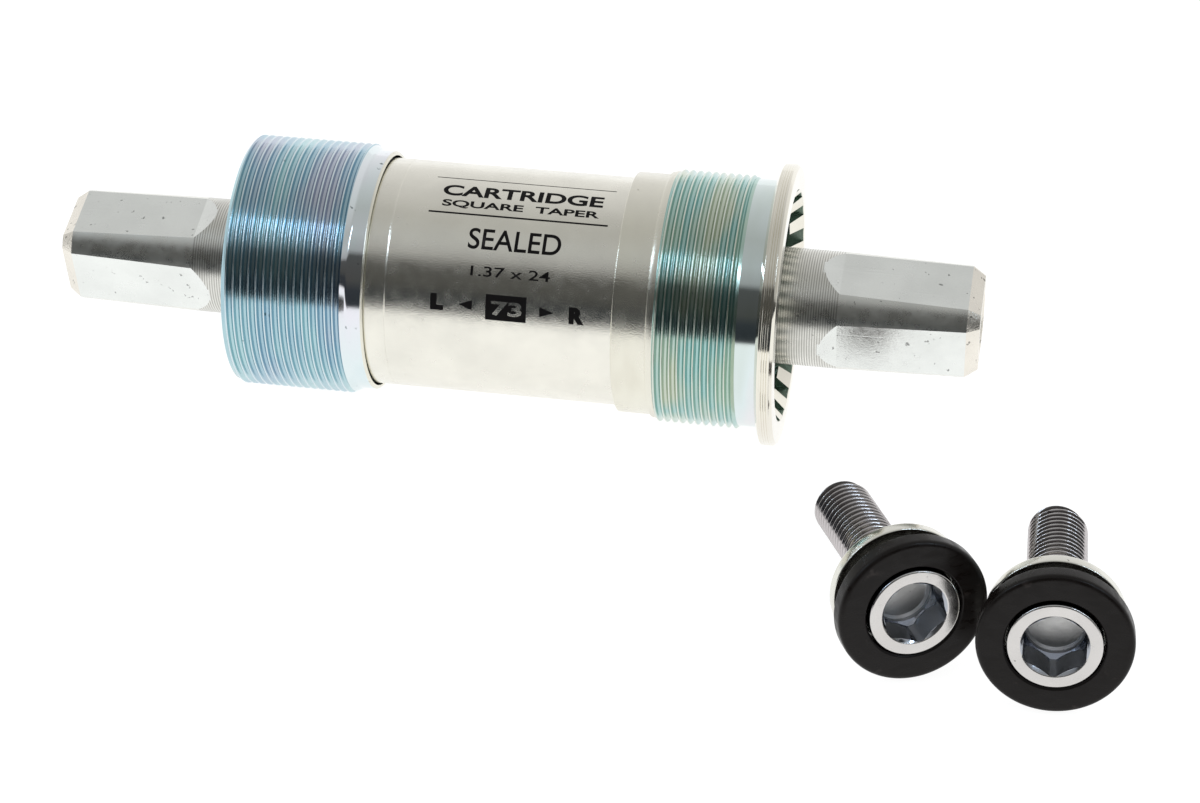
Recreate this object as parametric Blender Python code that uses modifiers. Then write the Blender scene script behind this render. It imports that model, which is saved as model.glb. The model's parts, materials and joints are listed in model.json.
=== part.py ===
"""A square-taper cartridge bottom bracket for a 73 mm shell, with its two crank bolts lying in front.

The spindle's axis lies along X, with the drive side towards +X, and Z is up. The origin is at the
middle of the frame's shell, on the spindle's axis. Sizes are in millimetres until MM scales them.
"""

import math

import bpy
from mathutils import Euler, Matrix, Vector

MM = 0.001
GAP = 0.3  # clearance between pieces that touch or press together on the real object

# Frame shell and the two cups, along the spindle's axis.
SHELL_WIDTH = 73.0
SHELL_HALF = SHELL_WIDTH / 2
THREAD_R = 17.4
THREAD_CHAMFER = 0.4
FLANGE_R = 19.35
FLANGE_THICKNESS = 2.52
FLANGE_CHAMFER = 0.4
FLANGE_BEVEL_LENGTH = 0.5
FLANGE_BEVEL_DEPTH = 1.2
NECK_R = 17.0
FIXED_THREAD_OUTER_X = 33.7
FIXED_THREAD_INNER_X = 21.6
COLLAR_R = 16.55
COLLAR_X = 16.9
ADAPTER_THREAD_INNER_X = -20.0
ADAPTER_NOSE_R = 16.6
ADAPTER_LIP_X = -17.0

# The tool spline in the mouth of each cup.
NOTCHES = 20
NOTCH_R = 15.9
NOTCH_WIDTH = 2.3
NOTCH_STOP = 0.5  # the notches end this far short of the mouth's floor
SPLINE_TIP_R = 14.2
MOUTH_R = 16.0  # of the 45 degree cone that leads into the spline
WEB_THICKNESS = 1.5
WEB_HOLE_R = 12.5

# Cartridge tube. It ends against the cups' webs.
TUBE_R = 15.7
TUBE_BORE_R = 14.0
TUBE_RIGHT_X = 28.2
TUBE_LEFT_X = -27.4

# Ball bearings, 17 x 28 x 7 mm class.
BEARING_WIDTH = 7.0
BEARING_RECESS = 0.8  # from the tube's end to the bearing's face
BORE_SEAT_R = 8.5
INNER_SHOULDER_R = 10.3
OUTER_SHOULDER_R = 12.2
PITCH_R = 11.25
BALL_R = 3.175 / 2
BALLS = 11
SHIELD_THICKNESS = 0.4
SHIELD_INSET = 0.3
CAGE_R_IN = 10.7
CAGE_R_OUT = 11.8
CAGE_HALF_WIDTH = 2.3
POCKET_R = BALL_R + 0.2

# Spindle.
SPINDLE_LENGTH = 127.5
SPINDLE_MIDDLE_X = 1.5
SPINDLE_R = 8.0
SPINDLE_SHOULDER_R = 9.6
CORNER_R_AT_END = 7.6
FLAT_HALF_WIDTH_AT_END = 6.35
TAPER_DEG = 2.0
FLAT_LENGTH = 19.0
RUN_OUT_LENGTH = 2.5
END_CHAMFER = 1.2
END_CHAMFER_LENGTH = 1.7
BOLT_HOLE_R = 3.5  # M8 tapping size
BOLT_HOLE_DEPTH = 22.0
BOLT_HOLE_TIP = 2.0
COUNTERSINK_R = 4.3
SPINDLE_REST_TURN_DEG = 5.5

# Crank bolts: distances along the bolt are measured from the front face of its dust cap.
BOLT_LENGTH = 30.35
BOLT_THREAD_R = 3.95
BOLT_TIP_CHAMFER = 1.0
BOLT_HEAD_R = 6.05
BOLT_HEAD_PROUD = 0.3
BOLT_HEAD_BACK = 6.1
HEX_ACROSS_FLATS = 8.0
HEX_DEPTH = 5.6
DUST_CAP_R = 10.0
DUST_CAP_THICKNESS = 3.05
DUST_CAP_ROUNDING = 0.5
WASHER_R = 9.0
WASHER_FRONT = 3.9
WASHER_BACK = 7.35
WASHER_HOLE_R = 4.3
# Each bolt lies on the table that the flange stands on: its place on the table and its heading from +Y.
BOLT_PLACES = {
    "right": {"x": 79.14, "y": -51.2, "heading_deg": 2.22},
    "left": {"x": 61.17, "y": -47.77, "heading_deg": 25.15},
}
TABLE_Z = -FLANGE_R

FINE, MEDIUM, COARSE = 40, 32, 24  # facets round a turned piece


def clear_scene():
    for thing in list(bpy.data.objects):
        bpy.data.objects.remove(thing, do_unlink=True)


def collection(name, hidden=False):
    made = bpy.data.collections.new(name)
    made.hide_render = hidden
    bpy.context.scene.collection.children.link(made)
    return made


def principled(name, colour, roughness, metallic):
    made = bpy.data.materials.new(name)
    made.use_nodes = True
    shader = made.node_tree.nodes["Principled BSDF"]
    shader.inputs["Base Color"].default_value = (*colour, 1)
    shader.inputs["Roughness"].default_value = roughness
    shader.inputs["Metallic"].default_value = metallic
    made.diffuse_color = (*colour, 1)
    return made


def add(name, mesh, where, material=None, parent=None):
    thing = bpy.data.objects.new(name, mesh)
    where.objects.link(thing)
    if material:
        mesh.materials.append(material)
    thing.parent = parent
    return thing


def turned(name, profile, where, material=None, parent=None, steps=MEDIUM, closed=True):
    """A turned piece round its local Z. The profile lists (distance along Z, radius), and runs from the
    top down the outside, then back up the bore."""
    points = [(radius * MM, 0, along * MM) for along, radius in profile]
    edges = [(i, i + 1) for i in range(len(points) - 1)]
    if closed:
        edges.append((len(points) - 1, 0))
    mesh = bpy.data.meshes.new(name)
    mesh.from_pydata(points, edges, [])
    thing = add(name, mesh, where, material, parent)
    screw = thing.modifiers.new("turn", "SCREW")
    screw.steps = screw.render_steps = steps
    screw.use_merge_vertices = True
    screw.merge_threshold = 1e-5
    screw.use_smooth_shade = False
    return thing


def boolean(target, cutter, operation="DIFFERENCE"):
    cutter.hide_render = True
    cutter.display_type = "WIRE"
    step = target.modifiers.new(operation.lower(), "BOOLEAN")
    step.solver = "EXACT"
    step.operation = operation
    step.object = cutter


def empty(name, matrix, parent=None):
    made = bpy.data.objects.new(name, None)
    made.empty_display_size = 0.01
    made.parent = parent
    made.matrix_basis = matrix
    PARTS.objects.link(made)
    return made


def spline_cutter(name, back, front, parent):
    """The notches of a cup's tool spline, as one toothed plug from back to front along Z."""
    outline = bpy.data.curves.new(name, "CURVE")
    outline.dimensions = "2D"
    outline.fill_mode = "BOTH"
    outline.extrude = (front - back) / 2 * MM
    half = NOTCH_WIDTH / 2
    root_r = SPLINE_TIP_R - 1.5
    points = []
    for notch in range(NOTCHES):
        turn = Matrix.Rotation(math.tau * notch / NOTCHES, 2)
        for x, y in ((root_r, -half), (NOTCH_R, -half), (NOTCH_R, half), (root_r, half)):
            points.append(turn @ Vector((x, y)))
    line = outline.splines.new("POLY")
    line.points.add(len(points) - 1)
    for point, place in zip(line.points, points):
        point.co = (place.x * MM, place.y * MM, 0, 1)
    line.use_cyclic_u = True
    plug = bpy.data.objects.new(name, outline)
    CUTTERS.objects.link(plug)
    mesh = bpy.data.meshes.new_from_object(plug.evaluated_get(bpy.context.evaluated_depsgraph_get()))
    bpy.data.objects.remove(plug)
    cutter = add(name, mesh, CUTTERS, parent=parent)
    cutter.location.z = (back + front) / 2 * MM
    weld = cutter.modifiers.new("weld", "WELD")
    weld.merge_threshold = 1e-6
    return cutter


def make_fixed_cup(axis):
    face = SHELL_HALF + FLANGE_THICKNESS
    web = TUBE_RIGHT_X + GAP
    recess = web + WEB_THICKNESS
    chamfer = THREAD_CHAMFER
    mouth = MOUTH_R - SPLINE_TIP_R
    cup = turned(
        "fixed_cup",
        [
            (face, FLANGE_R - FLANGE_CHAMFER),
            (face - FLANGE_CHAMFER, FLANGE_R),
            (SHELL_HALF + FLANGE_BEVEL_LENGTH, FLANGE_R),
            (SHELL_HALF, FLANGE_R - FLANGE_BEVEL_DEPTH),
            (SHELL_HALF, NECK_R),
            (FIXED_THREAD_OUTER_X, NECK_R),
            (FIXED_THREAD_OUTER_X - chamfer, THREAD_R),
            (FIXED_THREAD_INNER_X + 2 * chamfer, THREAD_R),
            (FIXED_THREAD_INNER_X, COLLAR_R),
            (COLLAR_X, COLLAR_R),
            (COLLAR_X, TUBE_R + GAP),
            (web, TUBE_R + GAP),
            (web, WEB_HOLE_R),
            (recess, WEB_HOLE_R),
            (recess, SPLINE_TIP_R),
            (face - mouth, SPLINE_TIP_R),
            (face, MOUTH_R),
        ],
        PARTS,
        BRIGHT_ZINC,
        axis,
        FINE,
    )
    boolean(cup, spline_cutter("fixed_cup_notches", recess + NOTCH_STOP, face + 1, axis))


def make_adapter_cup(axis):
    web = TUBE_LEFT_X - GAP
    recess = web - WEB_THICKNESS
    chamfer = THREAD_CHAMFER
    mouth = MOUTH_R - SPLINE_TIP_R
    cup = turned(
        "adapter_cup",
        [
            (ADAPTER_LIP_X, ADAPTER_NOSE_R - 0.2),
            (ADAPTER_LIP_X - 0.2, ADAPTER_NOSE_R),
            (ADAPTER_THREAD_INNER_X + 2 * chamfer, ADAPTER_NOSE_R),
            (ADAPTER_THREAD_INNER_X, THREAD_R),
            (-SHELL_HALF + chamfer, THREAD_R),
            (-SHELL_HALF, THREAD_R - chamfer),
            (-SHELL_HALF, MOUTH_R),
            (-SHELL_HALF + mouth, SPLINE_TIP_R),
            (recess, SPLINE_TIP_R),
            (recess, WEB_HOLE_R),
            (web, WEB_HOLE_R),
            (web, TUBE_R + GAP),
            (ADAPTER_LIP_X, TUBE_R + GAP),
        ],
        PARTS,
        BLUE_ZINC,
        axis,
        FINE,
    )
    boolean(cup, spline_cutter("adapter_cup_notches", -SHELL_HALF - 1, recess - NOTCH_STOP, axis))


def ring(name, low, high, bore_r, outer_r, material, parent, steps=MEDIUM):
    """A plain ring or sleeve along the local Z."""
    profile = [(high, outer_r), (low, outer_r), (low, bore_r), (high, bore_r)]
    return turned(name, profile, PARTS, material, parent, steps)


def make_tube_and_seals(axis):
    ring("cartridge_tube", TUBE_LEFT_X, TUBE_RIGHT_X, TUBE_BORE_R, TUBE_R, SATIN_STEEL, axis, FINE)
    for side, web in (("right", TUBE_RIGHT_X + GAP), ("left", TUBE_LEFT_X - GAP - WEB_THICKNESS)):
        low, high = web + 0.15, web + WEB_THICKNESS - 0.15
        ring(f"{side}_end_seal", low, high, SPINDLE_R + GAP, WEB_HOLE_R - GAP, BLACK_RUBBER, axis)


def race_groove(shoulder_r, sign, deepest):
    """The ball groove of a bearing ring: (distance from the ring's middle, radius) from + to -."""
    part_way = deepest - sign * 0.22
    half = [(1.35, shoulder_r), (0.7, part_way)]
    return [*half, (0, deepest), *((-along, radius) for along, radius in reversed(half))]


def make_bearing(side, middle, fixed_axis, spindle_axis):
    """Rings, shields, cage and balls of one bearing. The cage and balls get an axis of their own."""
    half = BEARING_WIDTH / 2

    def placed(profile):
        return [(middle + along, radius) for along, radius in profile]

    inner_groove = race_groove(INNER_SHOULDER_R, -1, PITCH_R - BALL_R - 0.28)
    outer_groove = race_groove(OUTER_SHOULDER_R, 1, PITCH_R + BALL_R + 0.28)
    inner_bore, outer_r = BORE_SEAT_R + GAP, TUBE_BORE_R - GAP
    inner = [(half, INNER_SHOULDER_R), *inner_groove, (-half, INNER_SHOULDER_R)]
    inner += [(-half, inner_bore), (half, inner_bore)]
    outer = [(half, outer_r), (-half, outer_r), (-half, OUTER_SHOULDER_R)]
    outer += [*reversed(outer_groove), (half, OUTER_SHOULDER_R)]
    turned(f"{side}_inner_ring", placed(inner), PARTS, BEARING_STEEL, spindle_axis)
    turned(f"{side}_outer_ring", placed(outer), PARTS, BEARING_STEEL, fixed_axis)
    for face, sign in (("outer", 1), ("inner", -1)):
        outward = sign if side == "right" else -sign
        near = middle + outward * (half - SHIELD_INSET)
        far = near - outward * SHIELD_THICKNESS
        name = f"{side}_bearing_{face}_shield"
        shield_bore, shield_r = INNER_SHOULDER_R + GAP, OUTER_SHOULDER_R - GAP
        ring(name, min(near, far), max(near, far), shield_bore, shield_r, BLACK_RUBBER, fixed_axis, COARSE)
    cage_axis = empty(f"{side}_cage_axis", Matrix.Translation((0, 0, middle * MM)), fixed_axis)
    width = CAGE_HALF_WIDTH
    cage = ring(f"{side}_cage", -width, width, CAGE_R_IN, CAGE_R_OUT, CAGE_PLASTIC, cage_axis, 4 * BALLS)
    for number in range(BALLS):
        angle = math.tau * (number + 0.125) / BALLS
        place = Vector((math.cos(angle), math.sin(angle), 0)) * PITCH_R * MM
        bpy.ops.mesh.primitive_ico_sphere_add(subdivisions=2, radius=BALL_R * MM)
        adopt(f"{side}_ball_{number + 1:02d}", PARTS, BEARING_STEEL, cage_axis, place)
        bpy.ops.mesh.primitive_cylinder_add(vertices=10, radius=POCKET_R * MM, depth=6 * MM)
        pocket = adopt(f"{side}_pocket_{number + 1:02d}", CUTTERS, None, cage_axis, place)
        pocket.rotation_euler = (0, math.pi / 2, angle)
        boolean(cage, pocket)


def adopt(name, where, material, parent, location):
    """Names, files and parents the primitive that was just added."""
    thing = bpy.context.object
    for holder in list(thing.users_collection):
        holder.objects.unlink(thing)
    where.objects.link(thing)
    thing.name = thing.data.name = name
    if material:
        thing.data.materials.append(material)
    thing.parent = parent
    thing.location = location
    return thing


def make_spindle(axis):
    right = SPINDLE_MIDDLE_X + SPINDLE_LENGTH / 2
    left = SPINDLE_MIDDLE_X - SPINDLE_LENGTH / 2
    widening = (FLAT_LENGTH - END_CHAMFER_LENGTH) * math.tan(math.radians(TAPER_DEG))
    flat_inner_half = FLAT_HALF_WIDTH_AT_END + widening
    seat_right = TUBE_RIGHT_X - BEARING_RECESS
    seat_left = TUBE_LEFT_X + BEARING_RECESS

    def hole(end, inward):
        bottom = end + inward * BOLT_HOLE_DEPTH
        mouth = COUNTERSINK_R - BOLT_HOLE_R
        tip = (bottom + inward * BOLT_HOLE_TIP, 0)
        return [tip, (bottom, BOLT_HOLE_R), (end + inward * mouth, BOLT_HOLE_R), (end, COUNTERSINK_R)]

    def corner(end, inward):
        return [
            (end, CORNER_R_AT_END - END_CHAMFER),
            (end + inward * END_CHAMFER_LENGTH, CORNER_R_AT_END),
            (end + inward * FLAT_LENGTH, SPINDLE_R),
        ]

    shoulder_right = seat_right - BEARING_WIDTH - GAP
    shoulder_left = seat_left + BEARING_WIDTH + GAP
    profile = hole(right, -1) + corner(right, -1)
    profile += [(seat_right, SPINDLE_R), (seat_right, BORE_SEAT_R)]
    profile += [(shoulder_right, BORE_SEAT_R), (shoulder_right, SPINDLE_SHOULDER_R)]
    profile += [(shoulder_left, SPINDLE_SHOULDER_R), (shoulder_left, BORE_SEAT_R)]
    profile += [(seat_left, BORE_SEAT_R), (seat_left, SPINDLE_R)]
    profile += list(reversed(corner(left, 1))) + list(reversed(hole(left, 1)))
    spindle = turned("spindle", profile, PARTS, SPINDLE_STEEL, axis, FINE, closed=False)

    def square(end, inward):
        beyond = FLAT_HALF_WIDTH_AT_END - 2 * END_CHAMFER
        return [
            (end - inward * END_CHAMFER_LENGTH, beyond),
            (end + inward * END_CHAMFER_LENGTH, FLAT_HALF_WIDTH_AT_END),
            (end + inward * FLAT_LENGTH, flat_inner_half),
            (end + inward * (FLAT_LENGTH + RUN_OUT_LENGTH), SPINDLE_R + 0.05),
            (end + inward * (FLAT_LENGTH + RUN_OUT_LENGTH + 1), 2 * SPINDLE_R),
        ]

    outline = square(right, -1) + list(reversed(square(left, 1)))
    corners = [(along, half * math.sqrt(2)) for along, half in outline]
    outline = [(corners[0][0], 0), *corners, (corners[-1][0], 0)]
    envelope = turned("spindle_square", outline, CUTTERS, parent=axis, steps=4, closed=False)
    envelope.rotation_euler.z = math.pi / 4
    boolean(spindle, envelope, "INTERSECT")


def bolt_pose(place):
    """The world matrix of a bolt's frame: origin at the dust cap's front face, local Z out of the head.
    The washer's back edge and the shank's tip touch the table."""
    tip_r = BOLT_THREAD_R - BOLT_TIP_CHAMFER / 2
    dip = math.atan2(WASHER_R - tip_r, BOLT_LENGTH - WASHER_BACK)
    cap_dip = math.atan2(DUST_CAP_R - tip_r, BOLT_LENGTH - DUST_CAP_THICKNESS)
    dip = max(dip, cap_dip)
    lowest = max(
        WASHER_BACK * math.sin(dip) + WASHER_R * math.cos(dip),
        DUST_CAP_THICKNESS * math.sin(dip) + DUST_CAP_R * math.cos(dip),
    )
    rotation = Euler((math.pi / 2 - dip, 0, math.radians(place["heading_deg"]))).to_matrix().to_4x4()
    origin = Vector((place["x"], place["y"], TABLE_Z + lowest)) * MM
    return Matrix.Translation(origin) @ rotation


def make_bolt(side, place):
    axis = empty(f"{side}_bolt_axis", bolt_pose(place))
    tip, back = -BOLT_LENGTH, -BOLT_HEAD_BACK
    bolt = turned(
        f"{side}_bolt",
        [
            (BOLT_HEAD_PROUD, 0),
            (BOLT_HEAD_PROUD, BOLT_HEAD_R - 0.25),
            (BOLT_HEAD_PROUD - 0.25, BOLT_HEAD_R),
            (back, BOLT_HEAD_R),
            (back, BOLT_THREAD_R),
            (tip + BOLT_TIP_CHAMFER, BOLT_THREAD_R),
            (tip, BOLT_THREAD_R - BOLT_TIP_CHAMFER),
            (tip, 0),
        ],
        PARTS,
        CHROME,
        axis,
        MEDIUM,
        closed=False,
    )
    across_corners = HEX_ACROSS_FLATS / math.cos(math.pi / 6)
    bpy.ops.mesh.primitive_cylinder_add(vertices=6, radius=across_corners / 2 * MM, depth=2 * HEX_DEPTH * MM)
    socket = adopt(f"{side}_bolt_socket", CUTTERS, None, axis, (0, 0, BOLT_HEAD_PROUD * MM))
    boolean(bolt, socket)
    edge = 0.4
    washer = [
        (-WASHER_FRONT, WASHER_R - edge),
        (-WASHER_FRONT - edge, WASHER_R),
        (-WASHER_BACK + edge, WASHER_R),
        (-WASHER_BACK, WASHER_R - edge),
        (-WASHER_BACK, WASHER_HOLE_R),
        (-BOLT_HEAD_BACK - GAP, WASHER_HOLE_R),
        (-BOLT_HEAD_BACK - GAP, BOLT_HEAD_R + GAP),
        (-WASHER_FRONT, BOLT_HEAD_R + GAP),
    ]
    turned(f"{side}_washer", washer, PARTS, WASHER_STEEL, axis)
    bore_r, edge = BOLT_HEAD_R + GAP, DUST_CAP_ROUNDING
    dust_cap = [
        (0, DUST_CAP_R - edge),
        (-edge, DUST_CAP_R),
        (-DUST_CAP_THICKNESS, DUST_CAP_R),
        (-DUST_CAP_THICKNESS, bore_r),
        (0, bore_r),
    ]
    turned(f"{side}_dust_cap", dust_cap, PARTS, BLACK_PLASTIC, axis)


clear_scene()
PARTS = collection("bottom_bracket")
CUTTERS = collection("cutters", hidden=True)

BRIGHT_ZINC = principled("bright_zinc", (0.62, 0.66, 0.58), 0.3, 1.0)
BLUE_ZINC = principled("blue_zinc", (0.42, 0.6, 0.68), 0.3, 1.0)
SATIN_STEEL = principled("satin_steel", (0.6, 0.58, 0.53), 0.38, 1.0)
SPINDLE_STEEL = principled("spindle_steel", (0.58, 0.56, 0.52), 0.32, 1.0)
BEARING_STEEL = principled("bearing_steel", (0.7, 0.7, 0.7), 0.15, 1.0)
CAGE_PLASTIC = principled("cage_plastic", (0.72, 0.66, 0.5), 0.5, 0.0)
BLACK_RUBBER = principled("black_rubber", (0.02, 0.02, 0.02), 0.6, 0.0)
CHROME = principled("chrome", (0.75, 0.75, 0.75), 0.12, 1.0)
WASHER_STEEL = principled("washer_steel", (0.66, 0.66, 0.6), 0.25, 1.0)
BLACK_PLASTIC = principled("black_plastic", (0.03, 0.028, 0.026), 0.45, 0.0)

z_to_x = Matrix.Rotation(math.pi / 2, 4, "Y")
rest_turn = Matrix.Rotation(math.radians(SPINDLE_REST_TURN_DEG), 4, "X")
fixed = empty("fixed_axis", z_to_x)
adapter = empty("adapter_axis", z_to_x)
turning = empty("spindle_axis", rest_turn @ z_to_x)

make_fixed_cup(fixed)
make_adapter_cup(adapter)
make_tube_and_seals(fixed)
make_spindle(turning)
right_bearing = TUBE_RIGHT_X - BEARING_RECESS - BEARING_WIDTH / 2
left_bearing = TUBE_LEFT_X + BEARING_RECESS + BEARING_WIDTH / 2
make_bearing("right", right_bearing, fixed, turning)
make_bearing("left", left_bearing, fixed, turning)
spacer_ends = left_bearing + BEARING_WIDTH / 2 + GAP, right_bearing - BEARING_WIDTH / 2 - GAP
ring("spacer_sleeve", *spacer_ends, TUBE_BORE_R - 1.0, TUBE_BORE_R - GAP, SATIN_STEEL, fixed)
for bolt_side, bolt_place in BOLT_PLACES.items():
    make_bolt(bolt_side, bolt_place)
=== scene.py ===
"""Looks for the square-taper bottom bracket: fine threads, turned and plated finishes, tool splines,
hex sockets and the print on the tube, on a white table in soft studio light."""

import json
import math

import bmesh
import bpy
from mathutils import Matrix, Vector


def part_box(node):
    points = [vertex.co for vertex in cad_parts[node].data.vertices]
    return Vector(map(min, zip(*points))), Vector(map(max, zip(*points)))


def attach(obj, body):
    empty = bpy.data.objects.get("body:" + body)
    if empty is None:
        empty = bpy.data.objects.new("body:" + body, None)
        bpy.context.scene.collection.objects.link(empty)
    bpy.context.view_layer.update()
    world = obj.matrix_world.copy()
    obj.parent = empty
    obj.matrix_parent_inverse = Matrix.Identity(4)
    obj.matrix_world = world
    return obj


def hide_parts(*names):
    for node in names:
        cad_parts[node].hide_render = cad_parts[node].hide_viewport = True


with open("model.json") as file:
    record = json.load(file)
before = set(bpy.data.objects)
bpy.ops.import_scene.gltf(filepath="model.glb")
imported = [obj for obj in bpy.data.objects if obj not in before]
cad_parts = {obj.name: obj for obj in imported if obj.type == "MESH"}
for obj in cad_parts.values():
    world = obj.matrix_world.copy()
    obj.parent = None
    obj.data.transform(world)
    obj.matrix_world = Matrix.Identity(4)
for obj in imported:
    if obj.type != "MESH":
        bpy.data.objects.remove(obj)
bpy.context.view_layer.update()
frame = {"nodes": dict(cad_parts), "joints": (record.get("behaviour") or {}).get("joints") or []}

MM = 0.001

# The camera, from a fit to the photograph: angles in degrees, distances in millimetres.
AZIMUTH, ELEVATION, ROLL = 11.079, 41.0, -1.991
TARGET = (12.17, 0.0, -20.63)
DISTANCE = 469.0
LENS = 99.13


def mm(box):
    return [[value / MM for value in corner] for corner in box]


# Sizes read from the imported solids, in millimetres.
(ADAPTER_FACE, _, _), (ADAPTER_LIP, THREAD_R, _) = mm(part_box("adapter_cup"))
(COLLAR_END, _, _), (FLANGE_FACE, FLANGE_R, _) = mm(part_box("fixed_cup"))
(TUBE_LEFT, _, _), (TUBE_RIGHT, TUBE_R, _) = mm(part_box("cartridge_tube"))
(SPINDLE_LEFT, _, _), (SPINDLE_RIGHT, _, SPINDLE_SHOULDER_R) = mm(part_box("spindle"))
TABLE_Z = -FLANGE_R

# Sizes that the bounding boxes don't hold, as the solids have them.
SHELL_HALF = 36.5
SPLINE_TIP_R, MOUTH_R, NOTCH_R, NOTCH_WIDTH, NOTCHES = 14.2, 16.0, 15.9, 2.3, 20
WEB_HOLE_R, WEB = 12.5, 1.5
GAP = 0.3
NECK_R, COLLAR_R, NOSE_R = 17.0, 16.55, 16.6
FIXED_THREAD = (21.6, 33.7)
ADAPTER_THREAD_END = -20.0
CUP_PITCH = 25.4 / 24
CUP_THREAD_DEPTH, BOLT_THREAD_DEPTH = 0.5, 0.55
BOLT_PITCH = 1.0
# Where one thread crest passes the line that faces the camera, this many degrees round X from +Y.
ADAPTER_CREST_X, FIXED_CREST_X, BOLT_CREST_X = -35.84, 22.96, -8
CREST_FACING = 139.0
CREST_SHARPNESS = 1.9
PAST_ALL = 100
SPINDLE_TURN = math.radians(5.5)


# Mesh tools

def fillet(profile, segments=5):
    """Rounds a profile of (x, radius, rounding) points. A closed loop is assumed."""
    out = []
    for index, (x, r, rounding) in enumerate(profile):
        here = Vector((x, r))
        before = Vector(profile[index - 1][:2]) - here
        after = Vector(profile[(index + 1) % len(profile)][:2]) - here
        if not rounding or before.length == 0 or after.length == 0:
            out.append((x, r))
            continue
        start, end = here + before.normalized() * rounding, here + after.normalized() * rounding
        for step in range(segments + 1):
            t = step / segments
            point = start * (1 - t) ** 2 + here * 2 * t * (1 - t) + end * t * t
            out.append((point.x, point.y))
    return out


def subdivided(profile, low, high, step, radius):
    """Adds points every step along the stretch of a profile that runs at this radius from low to high."""
    out = []
    for index, (x, r) in enumerate(profile):
        out.append((x, r))
        nx, nr = profile[(index + 1) % len(profile)]
        level = abs(r - radius) < 1e-6 and abs(nr - radius) < 1e-6
        if level and min(x, nx) >= low - 1 and max(x, nx) <= high + 1:
            count = int(abs(nx - x) / step)
            out += [(x + (nx - x) * i / count, r) for i in range(1, count)]
    return out


def lathe(name, profile, steps=192, closed=True, sharp=35):
    """A turned piece round the X axis, from (x, radius) points that run down the outside from +X."""
    made = bmesh.new()
    rings = []
    for x, r in profile:
        if r < 1e-6:
            rings.append([made.verts.new((x * MM, 0, 0))] * steps)
            continue
        ring = []
        for k in range(steps):
            angle = math.tau * k / steps
            ring.append(made.verts.new((x * MM, r * MM * math.cos(angle), r * MM * math.sin(angle))))
        rings.append(ring)
    pairs = list(zip(rings, rings[1:]))
    if closed:
        pairs.append((rings[-1], rings[0]))
    for one, other in pairs:
        for k in range(steps):
            corners = [one[k], one[k - 1], other[k - 1], other[k]]
            unique = list(dict.fromkeys(corners))
            if len(unique) > 2:
                made.faces.new(unique)
    return finished(made, name, sharp)


def finished(made, name, sharp=35):
    """An object from a bmesh, smooth but for edges sharper than the angle."""
    made.normal_update()
    for face in made.faces:
        face.smooth = True
    for edge in made.edges:
        if len(edge.link_faces) == 2 and edge.calc_face_angle() > math.radians(sharp):
            edge.smooth = False
    mesh = bpy.data.meshes.new(name)
    made.to_mesh(mesh)
    made.free()
    thing = bpy.data.objects.new(name, mesh)
    bpy.context.scene.collection.objects.link(thing)
    return thing


def cut(thing, cutter, operation="DIFFERENCE", sharp=35):
    """Applies a Boolean at once, and removes the cutter."""
    step = thing.modifiers.new("cut", "BOOLEAN")
    step.solver = "EXACT"
    step.operation = operation
    step.object = cutter
    bpy.context.view_layer.update()
    graph = bpy.context.evaluated_depsgraph_get()
    mesh = bpy.data.meshes.new_from_object(thing.evaluated_get(graph))
    thing.modifiers.clear()
    thing.data = mesh
    bpy.data.objects.remove(cutter)
    resharpen(thing, sharp)


def resharpen(thing, sharp):
    """Cleans a mesh after a Boolean, and marks its sharp edges again."""
    made = bmesh.new()
    made.from_mesh(thing.data)
    bmesh.ops.remove_doubles(made, verts=made.verts, dist=2e-7)
    bmesh.ops.dissolve_degenerate(made, edges=made.edges, dist=1e-7)
    for edge in made.edges:
        bent = len(edge.link_faces) == 2 and edge.calc_face_angle() > math.radians(sharp)
        edge.smooth = not bent
    for face in made.faces:
        face.smooth = True
    made.to_mesh(thing.data)
    made.free()


def smoothstep(value):
    value = min(max(value, 0), 1)
    return value * value * (3 - 2 * value)


def thread(thing, low, high, radius, pitch, depth, crest_x, hand=1, fade=0.8):
    """Cuts a helical thread into the outside of a turned piece, and stores how near a crest each point is."""
    mesh = thing.data
    crest = mesh.attributes.new("crest", "FLOAT", "POINT")
    for vertex in mesh.vertices:
        x, y, z = vertex.co / MM
        r = math.hypot(y, z)
        if not (low < x < high) or r < radius - 0.05:
            continue
        turn = math.atan2(z, y) / math.tau - CREST_FACING / 360
        phase = ((x - crest_x) / pitch - hand * turn) % 1
        valley = 1 - (0.5 + 0.5 * math.cos(math.tau * phase)) ** CREST_SHARPNESS
        strength = smoothstep((x - low) / fade) * smoothstep((high - x) / fade)
        lowered = r - depth * valley * strength
        vertex.co.y *= lowered / r
        vertex.co.z *= lowered / r
        crest.data[vertex.index].value = (1 - valley) * strength


def zones(thing, *stops):
    """Gives each face the material of its zone along X: pairs of (where the zone ends, material)."""
    mesh = thing.data
    mesh.materials.clear()
    for _, made in stops:
        mesh.materials.append(made)
    for face in mesh.polygons:
        x = face.center.x / MM
        inside = (i for i, (end, _) in enumerate(stops) if x < end)
        face.material_index = next(inside, len(stops) - 1)


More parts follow.
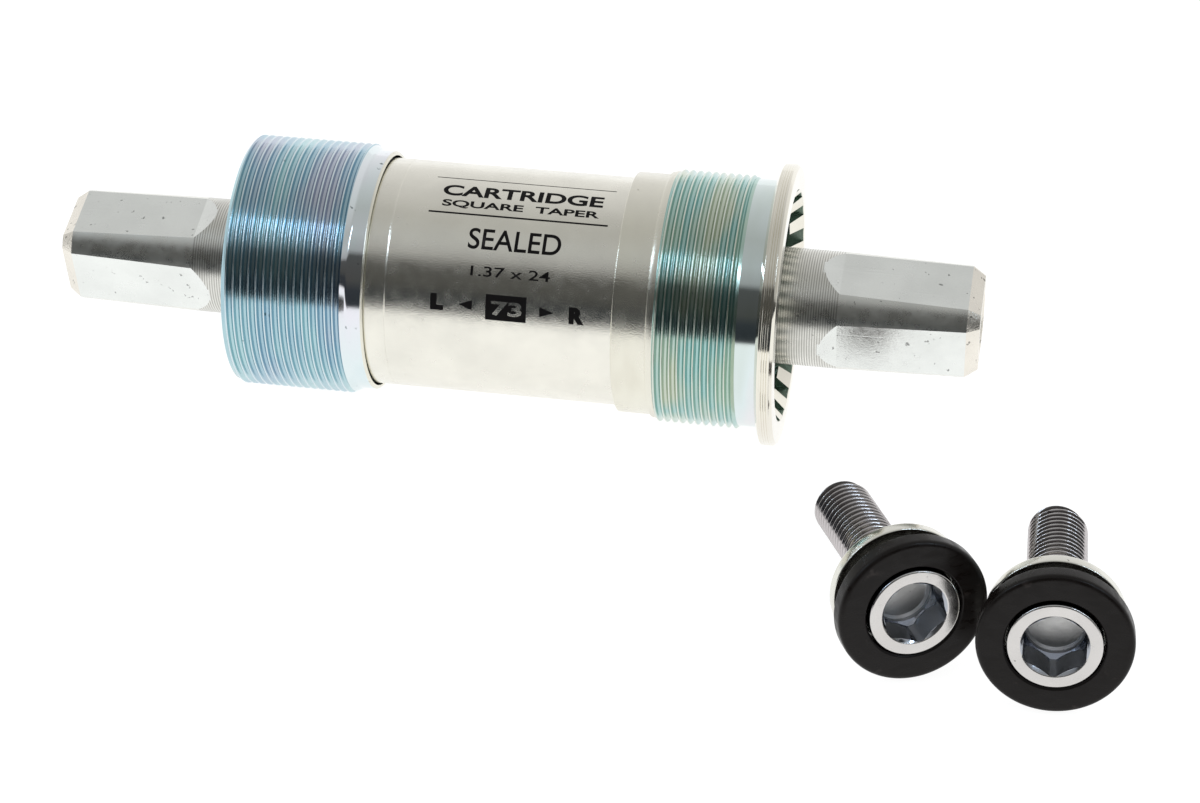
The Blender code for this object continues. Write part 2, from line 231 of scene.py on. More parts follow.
def toothed_plug(name, back, front):
    """A plug with the notches of the tool spline, along X."""
    made = bmesh.new()
    half, root = NOTCH_WIDTH / 2, SPLINE_TIP_R - 1.5
    outline = []
    for notch in range(NOTCHES):
        turn = Matrix.Rotation(math.tau * notch / NOTCHES, 2)
        for y, z in ((root, -half), (NOTCH_R, -half), (NOTCH_R, half), (root, half)):
            outline.append(turn @ Vector((y, z)))
    bottom = [made.verts.new((back * MM, p.x * MM, p.y * MM)) for p in outline]
    top = [made.verts.new((front * MM, p.x * MM, p.y * MM)) for p in outline]
    made.faces.new(bottom)
    made.faces.new(reversed(top))
    for k in range(len(outline)):
        made.faces.new((bottom[k - 1], top[k - 1], top[k], bottom[k]))
    bmesh.ops.recalc_face_normals(made, faces=made.faces)
    return finished(made, name)


# Materials

def material(name, colour, roughness, metallic=1.0):
    made = bpy.data.materials.new(name)
    made.use_nodes = True
    nodes, links = made.node_tree.nodes, made.node_tree.links
    shader = nodes["Principled BSDF"]
    shader.inputs["Base Color"].default_value = (*colour, 1)
    shader.inputs["Roughness"].default_value = roughness
    shader.inputs["Metallic"].default_value = metallic
    return made, nodes, links, shader


def noise(nodes, links, scale, detail=4.0, stretch=None):
    texture = nodes.new("ShaderNodeTexNoise")
    texture.inputs["Scale"].default_value = scale
    texture.inputs["Detail"].default_value = detail
    place = nodes.new("ShaderNodeTexCoord")
    if stretch:
        mapping = nodes.new("ShaderNodeMapping")
        mapping.inputs["Scale"].default_value = stretch
        links.new(place.outputs["Object"], mapping.inputs["Vector"])
        links.new(mapping.outputs["Vector"], texture.inputs["Vector"])
    else:
        links.new(place.outputs["Object"], texture.inputs["Vector"])
    return texture.outputs["Fac"]


def ramp(nodes, links, source, stops):
    made = nodes.new("ShaderNodeValToRGB")
    colours = made.color_ramp.elements
    while len(colours) < len(stops):
        colours.new(0.5)
    for stop, (position, colour) in zip(colours, stops):
        stop.position = position
        stop.color = (*colour, 1) if len(colour) == 3 else colour
    links.new(source, made.inputs["Fac"])
    return made.outputs["Color"]


def grey(value):
    return (value, value, value)


def bump(nodes, links, shader, height, strength, distance):
    """Adds a relief to a material, on top of any it already has."""
    relief = nodes.new("ShaderNodeBump")
    relief.inputs["Strength"].default_value = strength
    relief.inputs["Distance"].default_value = distance
    links.new(height, relief.inputs["Height"])
    earlier = shader.inputs["Normal"].links
    if earlier:
        links.new(earlier[0].from_socket, relief.inputs["Normal"])
    links.new(relief.outputs["Normal"], shader.inputs["Normal"])


def mixed(nodes, links, factor, one, other):
    mix = nodes.new("ShaderNodeMix")
    mix.data_type = "RGBA"
    links.new(factor, mix.inputs[0])
    for place, colour in ((6, one), (7, other)):
        if isinstance(colour, tuple):
            mix.inputs[place].default_value = (*colour, 1)
        else:
            links.new(colour, mix.inputs[place])
    return mix.outputs[2]


def speckle(nodes, links, shader, size, strength):
    """A fine orange-peel relief, with grains of about this many millimetres."""
    bump(nodes, links, shader, noise(nodes, links, 1 / (size * MM), 3), strength, 0.12 * size * MM)


def marks(nodes, links, colours, dark, scale, amount):
    """Small dark stains and nicks, over a few percent of the surface."""
    spots = noise(nodes, links, scale, 7)
    spots = ramp(nodes, links, spots, [(amount, grey(0)), (amount + 0.03, grey(1))])
    return mixed(nodes, links, spots, colours, dark)


def plated(name, tints, roughness, crest_tint=None, grain=0.15, relief=0.1, stains=0.72):
    """Zinc plate with a passivated tint that drifts along the piece, and brighter crests."""
    made, nodes, links, shader = material(name, tints[0], roughness)
    drift = noise(nodes, links, 110, 3, (1, 0.35, 0.35))
    stops = [(0.32 + 0.36 * i / (len(tints) - 1), tint) for i, tint in enumerate(tints)]
    colours = ramp(nodes, links, drift, stops)
    if crest_tint:
        crest = nodes.new("ShaderNodeAttribute")
        crest.attribute_name = "crest"
        near = ramp(nodes, links, crest.outputs["Fac"], [(0.72, grey(0)), (0.98, grey(1))])
        colours = mixed(nodes, links, near, colours, crest_tint)
    colours = marks(nodes, links, colours, tuple(0.35 * c for c in tints[0]), 1000, stains)
    links.new(colours, shader.inputs["Base Color"])
    patches = noise(nodes, links, 260, 4)
    links.new(ramp(nodes, links, patches, [(0.35, grey(roughness - 0.03)), (0.65, grey(roughness + 0.04))]),
              shader.inputs["Roughness"])
    speckle(nodes, links, shader, grain, relief)
    return made


BLUE_ZINC = plated("blue_zinc_thread", [(0.34, 0.54, 0.59), (0.44, 0.63, 0.66), (0.36, 0.52, 0.61),
                                        (0.48, 0.52, 0.61)], 0.17, (0.66, 0.75, 0.79))
NOSE_ZINC = plated("blue_zinc_nose", [(0.62, 0.74, 0.76), (0.74, 0.82, 0.83), (0.78, 0.76, 0.82)], 0.07,
                   stains=0.69)
GREEN_ZINC = plated("green_zinc_thread", [(0.33, 0.5, 0.43), (0.47, 0.6, 0.52), (0.36, 0.56, 0.54),
                                          (0.54, 0.6, 0.5)], 0.17, (0.7, 0.74, 0.67))
NECK_ZINC = plated("pale_zinc_neck", [(0.62, 0.7, 0.66), (0.7, 0.78, 0.78), (0.78, 0.76, 0.78)], 0.06,
                   stains=0.74)
COLLAR_STEEL = plated("satin_collar", [(0.7, 0.67, 0.57), (0.8, 0.78, 0.68), (0.74, 0.72, 0.64)], 0.24,
                      grain=0.2, relief=0.7)
NOTCH_ZINC = plated("green_zinc_notch", [(0.3, 0.42, 0.34), (0.46, 0.55, 0.47)], 0.4)
FLANGE_STEEL = plated("warm_flange", [(0.74, 0.71, 0.62), (0.82, 0.79, 0.7), (0.8, 0.76, 0.68)], 0.08,
                      grain=0.25, relief=0.08, stains=0.74)


def scratches(nodes, links, shader, scale, turn, strength):
    """Long thin scratches, all at about this angle round X."""
    place = nodes.new("ShaderNodeTexCoord")
    mapping = nodes.new("ShaderNodeMapping")
    mapping.inputs["Rotation"].default_value = turn
    mapping.inputs["Scale"].default_value = (0.06, 1, 1)
    links.new(place.outputs["Object"], mapping.inputs["Vector"])
    texture = nodes.new("ShaderNodeTexNoise")
    texture.inputs["Scale"].default_value = scale
    texture.inputs["Detail"].default_value = 2
    links.new(mapping.outputs["Vector"], texture.inputs["Vector"])
    lines = ramp(nodes, links, texture.outputs["Fac"], [(0.66, grey(1)), (0.7, grey(0))])
    bump(nodes, links, shader, lines, strength, 0.02 * MM)


def satin(name, colour, roughness, grain=0.15, relief=0.12, stains=0.72, scratched=0.0, groove_shade=None):
    """Plated steel with patches, stains and grain. Groove shade is painted shade: a darker colour put between
    turned ridges and in thread roots.
    """
    made, nodes, links, shader = material(name, colour, roughness)
    patches = noise(nodes, links, 160, 5)
    dull = tuple(0.93 * c for c in colour)
    colours = ramp(nodes, links, patches, [(0.35, dull), (0.65, colour)])
    colours = marks(nodes, links, colours, tuple(0.4 * c for c in colour), 1100, stains)
    # Painted shade: points away from the crests take the darker groove colour.
    if groove_shade:
        crest = nodes.new("ShaderNodeAttribute")
        crest.attribute_name = "crest"
        near = ramp(nodes, links, crest.outputs["Fac"], [(0.1, grey(0)), (0.75, grey(1))])
        colours = mixed(nodes, links, near, groove_shade, colours)
    links.new(colours, shader.inputs["Base Color"])
    fine = noise(nodes, links, 700, 4)
    links.new(ramp(nodes, links, fine, [(0.3, grey(roughness - 0.04)), (0.7, grey(roughness + 0.06))]),
              shader.inputs["Roughness"])
    speckle(nodes, links, shader, grain, relief)
    if scratched:
        scratches(nodes, links, shader, 900, (0, 0.4, 0.5), scratched)
        scratches(nodes, links, shader, 700, (0, -0.7, -0.9), scratched)
    return made


TUBE_STEEL = satin("tube_steel", (0.84, 0.82, 0.74), 0.22, grain=0.2, relief=0.6, stains=0.76)
# The spindle's groove colour is painted shade between the fine turning rings.
SPINDLE_STEEL = satin("spindle_steel", (0.8, 0.8, 0.75), 0.28, relief=0.3, groove_shade=(0.42, 0.41, 0.38))
FLAT_STEEL = satin("spindle_flat_steel", (0.84, 0.86, 0.83), 0.22, grain=0.3, relief=0.4, stains=0.68,
                   scratched=0.4)
SPINDLE_END_STEEL = satin("spindle_end_steel", (0.84, 0.8, 0.72), 0.24, grain=0.25, relief=0.9, stains=0.64)
CHROME = satin("bolt_chrome", (0.66, 0.64, 0.62), 0.22, grain=0.12, relief=0.2)
# Darker than the head's chrome: painted shade on the socket walls.
SOCKET_SHADED_CHROME = satin("socket_chrome_painted_shade", (0.42, 0.44, 0.48), 0.12, grain=0.6, relief=0.12, stains=0.8)
SOCKET_BOTTOM = satin("socket_bottom", (0.85, 0.84, 0.82), 0.42, grain=0.4, relief=0.5, stains=0.7)
# The bolt thread's near-black groove colour is painted shade in the thread roots.
BOLT_THREAD = satin("bolt_thread_chrome", (0.58, 0.55, 0.55), 0.14, relief=0.05, groove_shade=(0.1, 0.085, 0.08))
WASHER_STEEL = satin("washer_steel", (0.76, 0.75, 0.69), 0.16, relief=0.2, stains=0.68)
BEARING_STEEL = satin("bearing_steel", (0.7, 0.7, 0.7), 0.12)


def plastic(name, colour, roughness, specular=0.5):
    made, nodes, links, shader = material(name, colour, roughness, 0.0)
    shader.inputs["Specular IOR Level"].default_value = specular
    scuffs = noise(nodes, links, 400, 6, (1, 1, 3))
    links.new(ramp(nodes, links, scuffs, [(0.35, grey(roughness - 0.08)), (0.6, grey(roughness + 0.12))]),
              shader.inputs["Roughness"])
    worn = ramp(nodes, links, noise(nodes, links, 300, 8), [(0.66, grey(0)), (0.72, grey(1))])
    paler = tuple(3 * c + 0.01 for c in colour)
    links.new(mixed(nodes, links, worn, colour, paler), shader.inputs["Base Color"])
    bump(nodes, links, shader, noise(nodes, links, 1500, 4), 0.12, 0.00002)
    return made


BLACK_PLASTIC = plastic("black_plastic", (0.009, 0.0065, 0.0055), 0.3, 0.2)
BLACK_RUBBER = plastic("black_rubber", (0.02, 0.02, 0.02), 0.6)
CAGE_PLASTIC = plastic("cage_plastic", (0.6, 0.52, 0.36), 0.5)
INK = plastic("tube_ink", (0.008, 0.007, 0.007), 0.5, 0.1)


def wear(thing, *materials):
    thing.data.materials.clear()
    for made in materials:
        thing.data.materials.append(made)
    return thing


# Cups

def make_adapter_cup():
    web = TUBE_LEFT - GAP
    recess = web - WEB
    profile = fillet([
        (ADAPTER_LIP, NOSE_R - 0.25, 0.1),
        (ADAPTER_LIP - 0.3, NOSE_R, 0.1),
        (ADAPTER_THREAD_END + 0.8, NOSE_R, 0.3),
        (ADAPTER_THREAD_END, THREAD_R, 0),
        (ADAPTER_FACE + 0.5, THREAD_R, 0),
        (ADAPTER_FACE, THREAD_R - 0.5, 0.1),
        (ADAPTER_FACE, MOUTH_R, 0.1),
        (ADAPTER_FACE + MOUTH_R - SPLINE_TIP_R, SPLINE_TIP_R, 0),
        (recess, SPLINE_TIP_R, 0),
        (recess, WEB_HOLE_R, 0.15),
        (web, WEB_HOLE_R, 0.15),
        (web, TUBE_R + GAP, 0),
        (ADAPTER_LIP, TUBE_R + GAP, 0.15),
    ])
    profile = subdivided(profile, ADAPTER_FACE, ADAPTER_THREAD_END, CUP_PITCH / 16, THREAD_R)
    cup = lathe("adapter_cup_body", profile, steps=288)
    cut(cup, toothed_plug("adapter_notches", ADAPTER_FACE - 1, recess - 0.5))
    thread(cup, ADAPTER_FACE, ADAPTER_THREAD_END + 0.5, THREAD_R, CUP_PITCH, CUP_THREAD_DEPTH,
           ADAPTER_CREST_X)
    zones(cup, (ADAPTER_THREAD_END, BLUE_ZINC), (ADAPTER_LIP - 0.3, NOSE_ZINC), (PAST_ALL, COLLAR_STEEL))
    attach(cup, "adapter_cup")
    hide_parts("adapter_cup")


def turned_lines(low, high, radius, spacing, depth):
    """A stretch of profile from high to low with fine V grooves, as a lathe leaves them."""
    count = int((high - low) / spacing)
    out = []
    for i in range(count):
        x = high - spacing * i
        out += [(x, radius, 0), (x - 0.02, radius, 0), (x - spacing * 0.5, radius, 0),
                (x - spacing * 0.5 - 0.02, radius, 0), (x - spacing * 0.78, radius - depth, 0)]
    return out


def make_fixed_cup():
    web = TUBE_RIGHT + GAP
    recess = web + WEB
    inner, outer = FIXED_THREAD
    chamfer, bevel, bevel_depth = 0.42, 0.5, 1.2
    profile = fillet([
        (FLANGE_FACE, FLANGE_R - chamfer, 0.08),
        (FLANGE_FACE - chamfer, FLANGE_R, 0.06),
        *turned_lines(SHELL_HALF + bevel + 0.15, FLANGE_FACE - chamfer - 0.1, FLANGE_R, 0.32, 0.06),
        (SHELL_HALF + bevel, FLANGE_R, 0.12),
        (SHELL_HALF, FLANGE_R - bevel_depth, 0.15),
        (SHELL_HALF, NECK_R, 0.12),
        (outer, NECK_R, 0),
        (outer - 0.4, THREAD_R, 0),
        (inner + 0.8, THREAD_R, 0),
        (inner, THREAD_R - 0.55, 0.1),
        (inner, COLLAR_R, 0.1),
        (COLLAR_END, COLLAR_R, 0.25),
        (COLLAR_END, TUBE_R + 0.03, 0.05),
        (web, TUBE_R + 0.03, 0),
        (web, WEB_HOLE_R, 0.15),
        (recess, WEB_HOLE_R, 0.15),
        (recess, SPLINE_TIP_R, 0),
        (FLANGE_FACE - MOUTH_R + SPLINE_TIP_R, SPLINE_TIP_R, 0),
        (FLANGE_FACE, MOUTH_R, 0.1),
    ])
    profile = subdivided(profile, inner, outer, CUP_PITCH / 16, THREAD_R)
    cup = lathe("fixed_cup_body", profile, steps=288)
    cut(cup, toothed_plug("fixed_notches", recess + 0.5, FLANGE_FACE + 1))
    thread(cup, inner, outer, THREAD_R, CUP_PITCH, CUP_THREAD_DEPTH, FIXED_CREST_X, hand=-1)
    zones(cup, (inner + 0.95, COLLAR_STEEL), (outer, GREEN_ZINC), (SHELL_HALF - 0.05, NECK_ZINC),
          (PAST_ALL, FLANGE_STEEL), (PAST_ALL, NOTCH_ZINC))
    notch_wall = 4
    for face in cup.data.polygons:
        x, y, z = face.center / MM
        in_notch = SPLINE_TIP_R < math.hypot(y, z) < NOTCH_R + 0.01
        if x > recess and in_notch and abs(face.normal.x) < 0.3:
            face.material_index = notch_wall
    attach(cup, "cartridge")
    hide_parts("fixed_cup")


def make_tube():
    bore, score, depth = 14.0, -14.2, 0.09
    profile = [
        (TUBE_RIGHT, bore), (TUBE_RIGHT, TUBE_R), (score + 0.18, TUBE_R), (score + 0.15, TUBE_R),
        (score, TUBE_R - depth), (score - 0.15, TUBE_R), (score - 0.18, TUBE_R), (TUBE_LEFT, TUBE_R),
        (TUBE_LEFT, bore),
    ]
    tube = wear(lathe("cartridge_tube_body", profile, steps=216), TUBE_STEEL)
    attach(tube, "cartridge")
    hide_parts("cartridge_tube")


# Print on the tube. Places are (x, x, degrees, degrees) round the tube from the front, towards the top.

def around(degrees):
    return math.radians(degrees) * TUBE_R


def lettering(text, x0, x1, low, high, weight=0.0):
    """Words as a bmesh, filling this place on the unrolled tube."""
    curve = bpy.data.curves.new("lettering", "FONT")
    curve.body, curve.extrude, curve.offset = text, 0.5, weight
    holder = bpy.data.objects.new("lettering", curve)
    bpy.context.scene.collection.objects.link(holder)
    bpy.context.view_layer.update()
    graph = bpy.context.evaluated_depsgraph_get()
    mesh = bpy.data.meshes.new_from_object(holder.evaluated_get(graph))
    bpy.data.objects.remove(holder)
    left, right = (pick(v.co.x for v in mesh.vertices) for pick in (min, max))
    bottom, top = (pick(v.co.y for v in mesh.vertices) for pick in (min, max))
    made = bmesh.new()
    made.from_mesh(mesh)
    bmesh.ops.remove_doubles(made, verts=made.verts, dist=1e-5)
    for vertex in made.verts:
        vertex.co.x = x0 + (vertex.co.x - left) * (x1 - x0) / (right - left)
        vertex.co.y = around(low) + (vertex.co.y - bottom) * (around(high) - around(low)) / (top - bottom)
    return made


def slab(points):
    """A flat shape on the unrolled tube, from its (x, degrees) corners."""
    made = bmesh.new()
    face = made.faces.new([made.verts.new((x, around(degrees), -0.5)) for x, degrees in points])
    up = bmesh.ops.extrude_face_region(made, geom=[face])
    lifted = [v for v in up["geom"] if isinstance(v, bmesh.types.BMVert)]
    bmesh.ops.translate(made, vec=(0, 0, 1), verts=lifted)
    bmesh.ops.recalc_face_normals(made, faces=made.faces)
    return made


def rule(x0, x1, degrees, width):
    half = math.degrees(width / 2 / TUBE_R)
    return slab([(x0, degrees - half), (x1, degrees - half), (x1, degrees + half), (x0, degrees + half)])


def wrap(name, shapes, thickness, lift, made_of):
    """Rolls flat shapes on to the tube as one thin piece."""
    whole = bmesh.new()
    for shape in shapes:
        mesh = bpy.data.meshes.new("part")
        shape.to_mesh(mesh)
        shape.free()
        whole.from_mesh(mesh)
    bmesh.ops.triangulate(whole, faces=whole.faces)
    strip = 0.45
    lowest, highest = (pick(v.co.y for v in whole.verts) for pick in (min, max))
    for i in range(1, int((highest - lowest) / strip) + 1):
        bmesh.ops.bisect_plane(whole, geom=[*whole.verts, *whole.edges, *whole.faces],
                               plane_co=(0, lowest + strip * i, 0), plane_no=(0, 1, 0))
    bmesh.ops.remove_doubles(whole, verts=whole.verts, dist=0.0005)
    bmesh.ops.dissolve_degenerate(whole, edges=whole.edges, dist=0.0002)
    low, high = TUBE_R - 0.03, TUBE_R + lift + thickness / 2
    for vertex in whole.verts:
        x, along, out = vertex.co
        radius = low + (out + 0.5) * (high - low)
        angle = along / TUBE_R
        vertex.co = Vector((x, -radius * math.cos(angle), radius * math.sin(angle))) * MM
    piece = wear(finished(whole, name), made_of)
    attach(piece, "cartridge")
    return piece


def make_print():
    box = (-0.25, 5.3, 19.4, 32.2)
    shapes = [
        rule(-9.6, 15.1, 97.2, 0.12),
        lettering("CARTRIDGE", -8.2, 13.8, 83.3, 91.2, 0.028),
        lettering("SQUARE  TAPER", -7.9, 13.6, 75.4, 80.4, 0.026),
        rule(-9.5, 15.0, 72.2, 0.26),
        lettering("SEALED", -3.4, 9.2, 53.8, 64.8, 0.01),
        lettering("1.37 x 24", -2.6, 8.2, 40.6, 45.6, 0.008),
        lettering("L", -7.8, -6.0, 22.2, 30.4, 0.09),
        slab([(-3.9, 26.0), (-2.1, 23.5), (-2.1, 28.5)]),
        slab([(box[0], box[2]), (box[1], box[2]), (box[1], box[3]), (box[0], box[3])]),
        slab([(7.1, 23.1), (9.0, 25.6), (7.1, 28.1)]),
        lettering("R", 11.1, 13.2, 20.9, 29.4, 0.075),
    ]
    wrap("tube_print", shapes, 0.03, 0.0, INK)
    digits = [lettering("73", 0.5, 4.7, 21.9, 29.2, 0.03)]
    wrap("tube_print_size", digits, 0.03, 0.03, TUBE_STEEL)


# Spindle

def make_spindle():
    flat, taper, end_flat, chamfer, chamfer_length = 19.0, math.radians(2), 6.35, 1.2, 1.7
    inner_flat = end_flat + (flat - chamfer_length) * math.tan(taper)
    run_out, r, end_r, hole, sink, depth = 2.5, 8.0, 7.6, 3.5, 4.3, 22.0
    right, left = SPINDLE_RIGHT, SPINDLE_LEFT
    seat_r = 8.5
    seat_right, seat_left = TUBE_RIGHT - 0.8, TUBE_LEFT + 0.8
    shoulder = SPINDLE_SHOULDER_R

    def end(tip, inward):
        return [
            (tip + inward * (depth + 2), 0),
            (tip + inward * depth, hole),
            (tip + inward * (sink - hole), hole),
            (tip, sink),
            (tip, end_r - chamfer),
            (tip + inward * chamfer_length, end_r),
            (tip + inward * flat, r),
        ]

    ring, ring_depth, ringed_right, ringed_left = 0.34, 0.01, 18, 14

    def ringed(start, stop):
        """Fine turning marks on the round part, from start to stop."""
        count = int(abs(stop - start) / ring * 2)
        step = math.copysign(ring / 2, stop - start)
        return [(start + step * i, r - ring_depth * (i % 2)) for i in range(1, count)]

    profile = end(right, -1) + ringed(right - flat, right - flat - ringed_right)
    seat = 7.3
    profile += [(seat_right, r), (seat_right, seat_r)]
    profile += [(seat_right - seat, seat_r), (seat_right - seat, shoulder)]
    profile += [(seat_left + seat, shoulder), (seat_left + seat, seat_r)]
    profile += [(seat_left, seat_r), (seat_left, r)]
    profile += ringed(left + flat + ringed_left, left + flat)
    profile += reversed(end(left, 1))
    spindle = lathe("spindle_body", profile, closed=False, sharp=20)

    def square(tip, inward):
        return [
            (tip - inward * chamfer_length, end_flat - 2 * chamfer),
            (tip + inward * chamfer_length, end_flat),
            (tip + inward * flat, inner_flat),
            (tip + inward * (flat + run_out), r + 0.05),
            (tip + inward * (flat + run_out + 1), 2 * r),
        ]

    outline = square(right, -1) + list(reversed(square(left, 1)))
    corners = [(x, half * math.sqrt(2)) for x, half in outline]
    capped = [(corners[0][0], 0), *corners, (corners[-1][0], 0)]
    envelope = lathe("square", capped, steps=4, closed=False)
    envelope.data.transform(Matrix.Rotation(math.pi / 4, 4, "X"))
    cut(spindle, envelope, "INTERSECT", sharp=8)
    # Marks the bottoms of the turning rings, where the material paints a darker shade.
    crest = spindle.data.attributes.new("crest", "FLOAT", "POINT")
    for vertex in spindle.data.vertices:
        lowered = r - math.hypot(vertex.co.y, vertex.co.z) / MM
        crest.data[vertex.index].value = 0.0 if 0.5 * ring_depth < lowered < 1.5 * ring_depth else 1.0
    wear(spindle, SPINDLE_STEEL, FLAT_STEEL, SPINDLE_END_STEEL)
    on_flat, on_end = 1, 2
    for face in spindle.data.polygons:
        flatness = max(abs(face.normal.y), abs(face.normal.z))
        from_end = min(SPINDLE_RIGHT - face.center.x / MM, face.center.x / MM - SPINDLE_LEFT)
        if from_end < chamfer_length - 0.05:
            face.material_index = on_end
        elif from_end < flat + run_out and (flatness > 0.99 or abs(face.normal.x) > 0.2):
            face.material_index = on_flat
    spindle.data.transform(Matrix.Rotation(SPINDLE_TURN, 4, "X"))
    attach(spindle, "spindle")
    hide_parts("spindle")


# Bolts

def bolt_matrix(side):
    """The bolt's frame, from its spin joint: origin at the dust cap's front face, local X out of the head."""
    joint = next(j for j in frame["joints"] if j["name"] == f"{side}_dust_cap_spin")
    out = Vector(joint["axis"]).normalized()
    across = Vector((0, 0, 1)).cross(out).normalized()
    up = out.cross(across)
    turn = Matrix((out, across, up)).transposed().to_4x4()
    return Matrix.Translation(Vector(joint["pos_m"])) @ turn


def socket_plug(across_flats, depth, top, turn):
    """The hollow of a hex socket: a round mouth, six walls, and a drilled bottom."""
    made = bmesh.new()
    radius = across_flats / math.sqrt(3)
    bmesh.ops.create_cone(made, cap_ends=True, segments=6, radius1=radius * MM, radius2=radius * MM,
                          depth=(depth + 5) * MM)
    plug = finished(made, "socket_walls")
    plug.data.transform(Matrix.Rotation(math.radians(turn), 4, "Z"))
    plug.data.transform(Matrix.Rotation(math.pi / 2, 4, "Y"))
    plug.data.transform(Matrix.Translation(((top + 2 - depth / 2) * MM, 0, 0)))
    mouth, drill = 4.4, 3.88
    bore = [(top + 1.5, 0), (top + 1.5, mouth), (top - 4.2, mouth), (top - 4.8, drill),
            (top - depth + 0.6, drill), (top - depth + 0.25, drill - 0.3), (top - depth, 0)]
    cut(plug, lathe("socket_bore", bore, 96, closed=False), "INTERSECT")
    return plug


def make_bolt(side, socket_turn):
    place = bolt_matrix(side)
    length, thread_r, head_r, proud, back = 30.35, 3.95, 6.05, 0.3, 6.1
    hex_size, hex_depth, mouth, sink = 8.0, 6.1, 4.45, 0.4
    profile = fillet([
        (proud - sink, mouth - sink, 0),
        (proud, mouth, 0.1),
        (proud, head_r, 0.3),
        (-back, head_r, 0.2),
        (-back, thread_r, 0),
        (-length + 1.3, thread_r, 0),
        (-length + 0.35, thread_r - 0.75, 0.4),
        (-length, thread_r - 1.7, 0.3),
    ])[1:]
    profile = [(proud - sink, 0), (proud - sink, mouth - sink), *profile, (-length, 0)]
    profile = subdivided(profile, -length, -back, BOLT_PITCH / 12, thread_r)
    bolt = lathe(f"{side}_bolt_body", profile, steps=120, closed=False)
    cut(bolt, socket_plug(hex_size, hex_depth, proud, socket_turn))
    thread(bolt, -length + 0.6, -back - 1, thread_r, BOLT_PITCH, BOLT_THREAD_DEPTH, BOLT_CREST_X)
    zones(bolt, (-back, BOLT_THREAD), (proud - 0.12, SOCKET_SHADED_CHROME), (PAST_ALL, CHROME),
          (PAST_ALL, SOCKET_BOTTOM))
    in_socket, on_bottom = 1, 3
    for face in bolt.data.polygons:
        deep = face.center.x / MM < proud - hex_depth + 0.62
        if face.material_index == in_socket and face.normal.x > 0.25 and deep:
            face.material_index = on_bottom
    washer_profile = fillet([
        (-3.9, 7.6, 0.2), (-5.6, 7.6, 0.1), (-5.6, 9.0, 0.25), (-7.35, 9.0, 0.4),
        (-7.35, 4.3, 0.2), (-6.4, 4.3, 0), (-6.4, 6.35, 0), (-3.9, 6.35, 0.2),
    ])
    washer = wear(lathe(f"{side}_washer_body", washer_profile), WASHER_STEEL)
    cap_profile = fillet([
        (0, 10.0, 0.8), (-2.4, 10.0, 0.2), (-2.5, 9.3, 0.1), (-3.05, 9.3, 0.1),
        (-3.05, 6.35, 0.1), (-0.25, 6.35, 0.1), (0, 6.6, 0.1),
    ], 8)
    dust_cap = wear(lathe(f"{side}_dust_cap_body", cap_profile), BLACK_PLASTIC)
    for thing, name, slot in ((bolt, "bolt", "chrome"), (washer, "washer", "washer_steel"),
                              (dust_cap, "dust_cap", "black_plastic")):
        thing.data.transform(place)
        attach(thing, f"{side}_{name}")
        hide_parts(f"{side}_{name}")


# Hidden pieces keep their solids, with finished materials.

def dress_inner_pieces():
    dress = {"ring": BEARING_STEEL, "ball": BEARING_STEEL, "cage": CAGE_PLASTIC, "shield": BLACK_RUBBER,
             "seal": BLACK_RUBBER, "sleeve": TUBE_STEEL}
    for name, node in frame["nodes"].items():
        for word, made in dress.items():
            if word in name:
                wear(node, made)


# Stage

def make_stage():
    bpy.ops.mesh.primitive_plane_add(size=8, location=(0, 0, TABLE_Z * MM - 0.00005))
    table = bpy.context.object
    table.name = "table"
    made, nodes, links, shader = material("white_table", (0.25, 0.25, 0.25), 0.8, 0.0)
    shader.inputs["Specular IOR Level"].default_value = 0.0
    shader.inputs["Emission Color"].default_value = (1, 1, 1, 1)
    shader.inputs["Emission Strength"].default_value = 0.95
    wear(table, made)


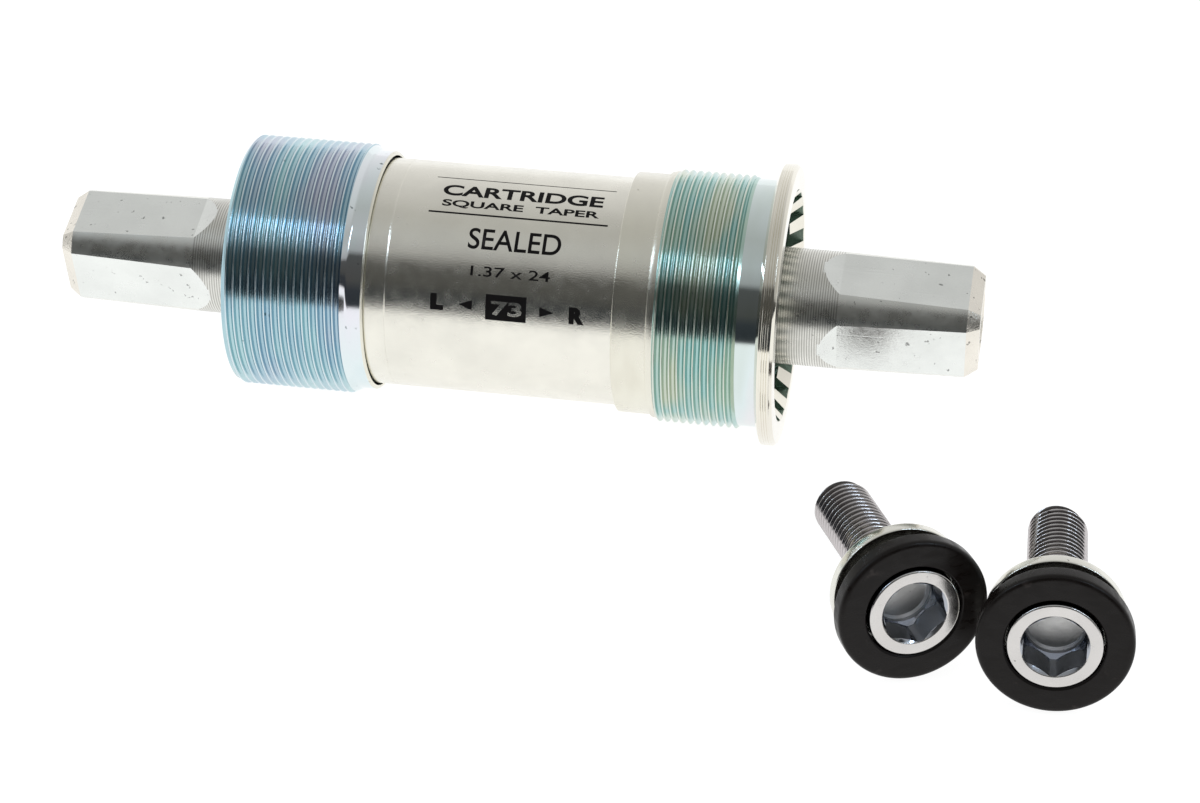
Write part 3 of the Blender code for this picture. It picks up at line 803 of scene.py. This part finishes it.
def make_light():
    """White surroundings, dark from the horizon on the camera's side to 50 degrees up, and two side lamps."""
    world = bpy.data.worlds.new("studio")
    bpy.context.scene.world = world
    world.use_nodes = True
    nodes, links = world.node_tree.nodes, world.node_tree.links
    background = nodes["Background"]
    place = nodes.new("ShaderNodeTexCoord")
    split = nodes.new("ShaderNodeSeparateXYZ")
    links.new(place.outputs["Generated"], split.inputs[0])
    angle = nodes.new("ShaderNodeMath")
    angle.operation = "ARCTAN2"
    minus = nodes.new("ShaderNodeMath")
    minus.operation = "MULTIPLY"
    minus.inputs[1].default_value = -1
    links.new(split.outputs["Y"], minus.inputs[0])
    links.new(split.outputs["Z"], angle.inputs[0])
    links.new(minus.outputs[0], angle.inputs[1])
    scaled = nodes.new("ShaderNodeMath")
    scaled.operation = "DIVIDE"
    scaled.inputs[1].default_value = math.pi
    links.new(angle.outputs[0], scaled.inputs[0])
    stops = [(0.0, grey(0.95)), (0.01, (0.03, 0.035, 0.04)), (0.1, (0.04, 0.045, 0.05)),
             (0.15, (0.075, 0.075, 0.07)), (0.28, (0.09, 0.09, 0.088)), (0.31, grey(0.4)),
             (0.4, (0.52, 0.53, 0.53)), (0.55, (0.5, 0.5, 0.485)), (0.75, grey(0.68)), (1.0, grey(0.95))]
    links.new(ramp(nodes, links, scaled.outputs[0], stops), background.inputs["Color"])
    background.inputs["Strength"].default_value = 1.0
    for side in (-1, 1):
        key = bpy.data.lights.new("key", "AREA")
        key.shape, key.size, key.size_y, key.energy = "RECTANGLE", 0.08, 0.5, 1.2
        key.color = (0.66, 0.82, 1.0)
        lamp = bpy.data.objects.new("key", key)
        bpy.context.scene.collection.objects.link(lamp)
        lamp.location = (0.7 * side, -0.2, 0.69)
        lamp.rotation_euler = (-lamp.location).to_track_quat("-Z", "Y").to_euler()


def make_camera():
    camera = bpy.data.cameras.new("camera")
    camera.lens, camera.sensor_width = LENS, 36
    camera.clip_start, camera.clip_end = 0.01, 20
    holder = bpy.data.objects.new("camera", camera)
    bpy.context.scene.collection.objects.link(holder)
    a, e = math.radians(AZIMUTH), math.radians(ELEVATION)
    back = Vector((math.sin(a) * math.cos(e), -math.cos(a) * math.cos(e), math.sin(e)))
    holder.location = (Vector(TARGET) + back * DISTANCE) * MM
    facing = (-back).to_track_quat("-Z", "Y").to_matrix()
    holder.rotation_euler = (facing @ Matrix.Rotation(math.radians(ROLL), 3, "Z")).to_euler()
    bpy.context.scene.camera = holder


make_adapter_cup()
make_fixed_cup()
make_tube()
make_print()
make_spindle()
make_bolt("right", socket_turn=30)
make_bolt("left", socket_turn=38)
dress_inner_pieces()
make_stage()
make_light()
make_camera()
bpy.context.scene.view_settings.view_transform = "Standard"
